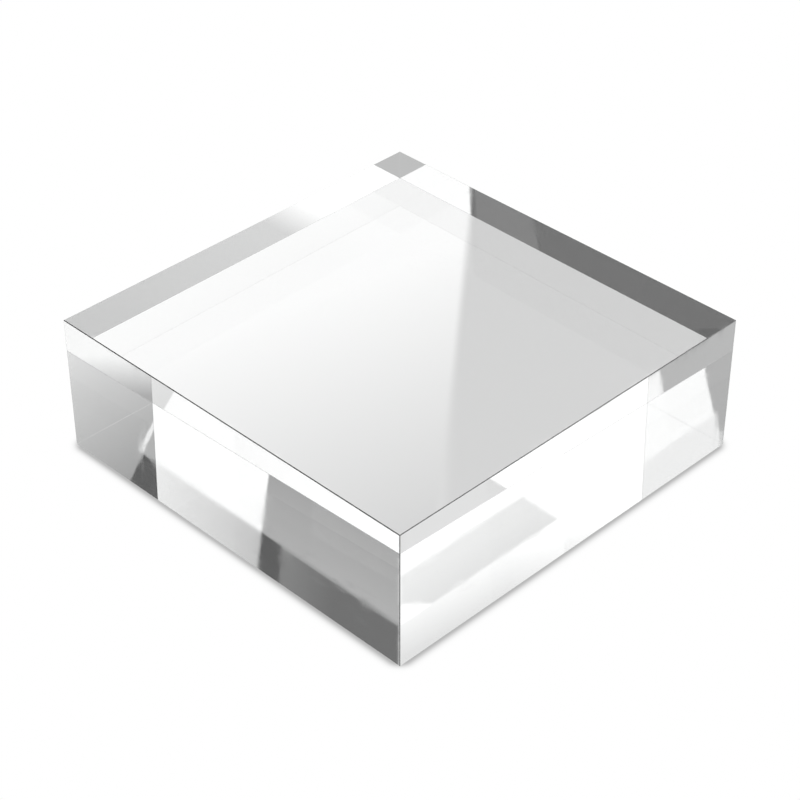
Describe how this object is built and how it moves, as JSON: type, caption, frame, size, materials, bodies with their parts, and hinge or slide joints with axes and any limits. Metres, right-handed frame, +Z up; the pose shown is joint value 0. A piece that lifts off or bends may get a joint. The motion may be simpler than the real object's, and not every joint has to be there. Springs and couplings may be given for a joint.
{
  "type": "display block",
  "caption": "Low square block of clear polished acrylic, about three times as wide as it is high, that lifts a small exhibit off a shelf.",
  "frame": {"origin": "centre of the underside, on the surface it stands on", "axes": "+Z up through the centre, +X and +Y square to the two pairs of sides"},
  "size_m": [0.0762, 0.0762, 0.025],
  "materials": {
    "clear_acrylic": "clear cast acrylic, all six faces polished"
  },
  "bodies": {
    "root": {"acrylic_block": "clear_acrylic"}
  },
  "joints": []
}
